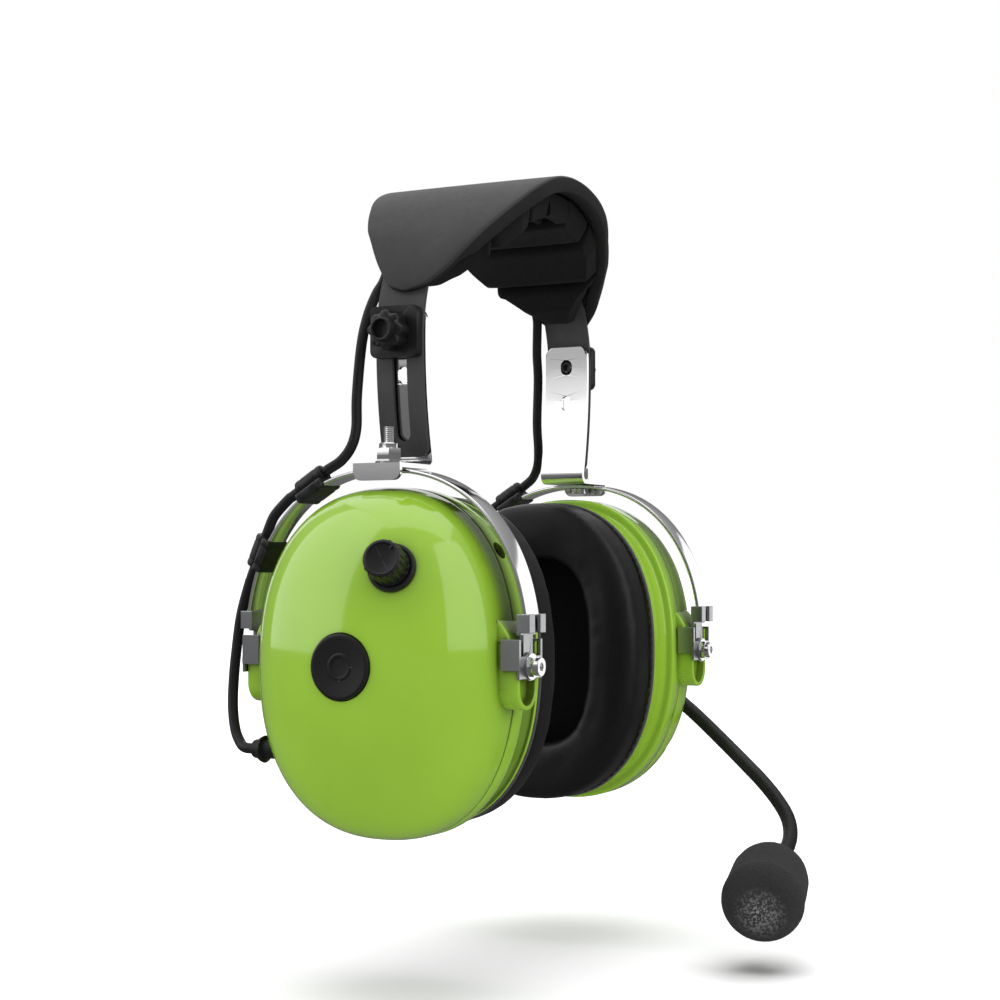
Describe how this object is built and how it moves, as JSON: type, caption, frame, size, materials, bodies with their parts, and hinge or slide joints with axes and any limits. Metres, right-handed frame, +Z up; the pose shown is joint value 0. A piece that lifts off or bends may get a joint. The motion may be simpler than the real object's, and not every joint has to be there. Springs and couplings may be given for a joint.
{
  "type": "aviation headset",
  "caption": "Over-ear aviation headset with domed ear cups in steel stirrups, an adjustable padded headband, a boom microphone, a volume knob and a talk button.",
  "frame": {"origin": "midway between the two cup tilt axes, on the wearer's centre plane", "axes": "+Z up through the headband, +X to the wearer's left (the boom side), -Y to the wearer's front"},
  "size_m": [0.1993, 0.1559, 0.2388],
  "materials": {
    "lime_plastic": "high gloss lime green",
    "black_plastic": "matt black moulded",
    "spring_steel": "satin black coated spring steel",
    "bright_steel": "bright plated",
    "grey_steel": "plain zinc plated",
    "pad_rubber": "matt black",
    "pad_foam": "matt black foam",
    "cushion_leather": "soft black leatherette",
    "cable_rubber": "matt black",
    "windscreen_foam": "open-cell black foam",
    "speaker_grey": "dark grey",
    "board_green": "solder mask"
  },
  "bodies": {
    "headband": {"headband_strap": "spring_steel", "head_pad_cover": "pad_rubber", "head_pad_foam": "pad_foam"},
    "right_slider": {"right_bracket": "bright_steel", "right_guide_cap": "black_plastic", "right_clamp_screw": "bright_steel", "right_swivel_stud": "bright_steel", "right_swivel_nut": "bright_steel"},
    "right_knob": {"right_height_knob": "black_plastic"},
    "right_stirrup": {"right_stirrup": "bright_steel", "right_front_clip": "grey_steel", "right_rear_clip": "grey_steel", "right_cable_clips": "black_plastic", "right_cable": "cable_rubber"},
    "right_cup": {"right_outer_shell": "lime_plastic", "right_inner_shell": "lime_plastic", "right_pivot_screws": "grey_steel", "right_side_plates": "grey_steel", "right_baffle": "black_plastic", "right_speaker": "speaker_grey", "right_acoustic_foam": "pad_foam", "right_ear_cushion": "cushion_leather", "right_cable_grommet": "cable_rubber", "right_jack_socket": "black_plastic", "knob_bezel": "black_plastic", "volume_pot": "grey_steel", "ptt_switch": "speaker_grey", "circuit_board": "board_green", "board_screws": "grey_steel"},
    "left_slider": {"left_bracket": "bright_steel", "left_guide_cap": "black_plastic", "left_clamp_screw": "bright_steel", "left_swivel_stud": "bright_steel", "left_swivel_nut": "bright_steel"},
    "left_knob": {"left_height_knob": "black_plastic"},
    "left_stirrup": {"left_stirrup": "bright_steel", "left_front_clip": "grey_steel", "left_rear_clip": "grey_steel", "left_cable_clips": "black_plastic", "left_cable": "cable_rubber"},
    "left_cup": {"left_outer_shell": "lime_plastic", "left_inner_shell": "lime_plastic", "left_pivot_screws": "grey_steel", "left_side_plates": "grey_steel", "left_baffle": "black_plastic", "left_speaker": "speaker_grey", "left_acoustic_foam": "pad_foam", "left_ear_cushion": "cushion_leather", "left_cable_grommet": "cable_rubber", "left_jack_socket": "black_plastic", "boom_bushing": "grey_steel"},
    "volume_knob": {"volume_knob": "black_plastic"},
    "ptt_button": {"ptt_button": "black_plastic"},
    "mic_boom": {"boom_hub": "black_plastic", "boom_retainer": "grey_steel", "boom_gooseneck": "cable_rubber", "mic_capsule": "grey_steel", "mic_windscreen": "windscreen_foam"}
  },
  "joints": [
    {"name": "right_extension", "type": "hinge", "parent": "headband", "child": "right_slider", "pos_m": [0.1004, 0, 0.097], "axis": [0, -1, 0], "range_deg": [0, 7.5], "deforming": ["right_cable"]},
    {"name": "right_clamp_turn", "type": "hinge", "parent": "right_slider", "child": "right_knob", "pos_m": [-0.066, 0, 0.0987], "axis": [-1, 0, 0], "continuous": true},
    {"name": "right_swivel", "type": "hinge", "parent": "right_slider", "child": "right_stirrup", "pos_m": [-0.0661, 0, 0.0575], "axis": [0, 0, 1], "range_deg": [-8, 8]},
    {"name": "right_tilt", "type": "hinge", "parent": "right_stirrup", "child": "right_cup", "pos_m": [-0.0661, 0, 0], "axis": [0, -1, 0], "range_deg": [-8, 6]},
    {"name": "left_extension", "type": "hinge", "parent": "headband", "child": "left_slider", "pos_m": [-0.1004, 0, 0.097], "axis": [0, 1, 0], "range_deg": [0, 7.5], "deforming": ["left_cable"]},
    {"name": "left_clamp_turn", "type": "hinge", "parent": "left_slider", "child": "left_knob", "pos_m": [0.066, 0, 0.0987], "axis": [1, 0, 0], "continuous": true},
    {"name": "left_swivel", "type": "hinge", "parent": "left_slider", "child": "left_stirrup", "pos_m": [0.0661, 0, 0.0575], "axis": [0, 0, 1], "range_deg": [-8, 8]},
    {"name": "left_tilt", "type": "hinge", "parent": "left_stirrup", "child": "left_cup", "pos_m": [0.0661, 0, 0], "axis": [0, 1, 0], "range_deg": [-8, 6]},
    {"name": "volume_turn", "type": "hinge", "parent": "right_cup", "child": "volume_knob", "pos_m": [-0.08878, -0.0145, 0.028], "axis": [-0.938, -0.208, 0.2773], "range_deg": [0, 290]},
    {"name": "ptt_press", "type": "slide", "parent": "right_cup", "child": "ptt_button", "axis": [1, 0, 0], "range_m": [0, 0.0012], "stiffness_N_per_m": 800},
    {"name": "boom_rotate", "type": "hinge", "parent": "left_cup", "child": "mic_boom", "pos_m": [0.0967, 0, 0], "axis": [-1, 0, 0], "range_deg": [-50, 85]}
  ]
}
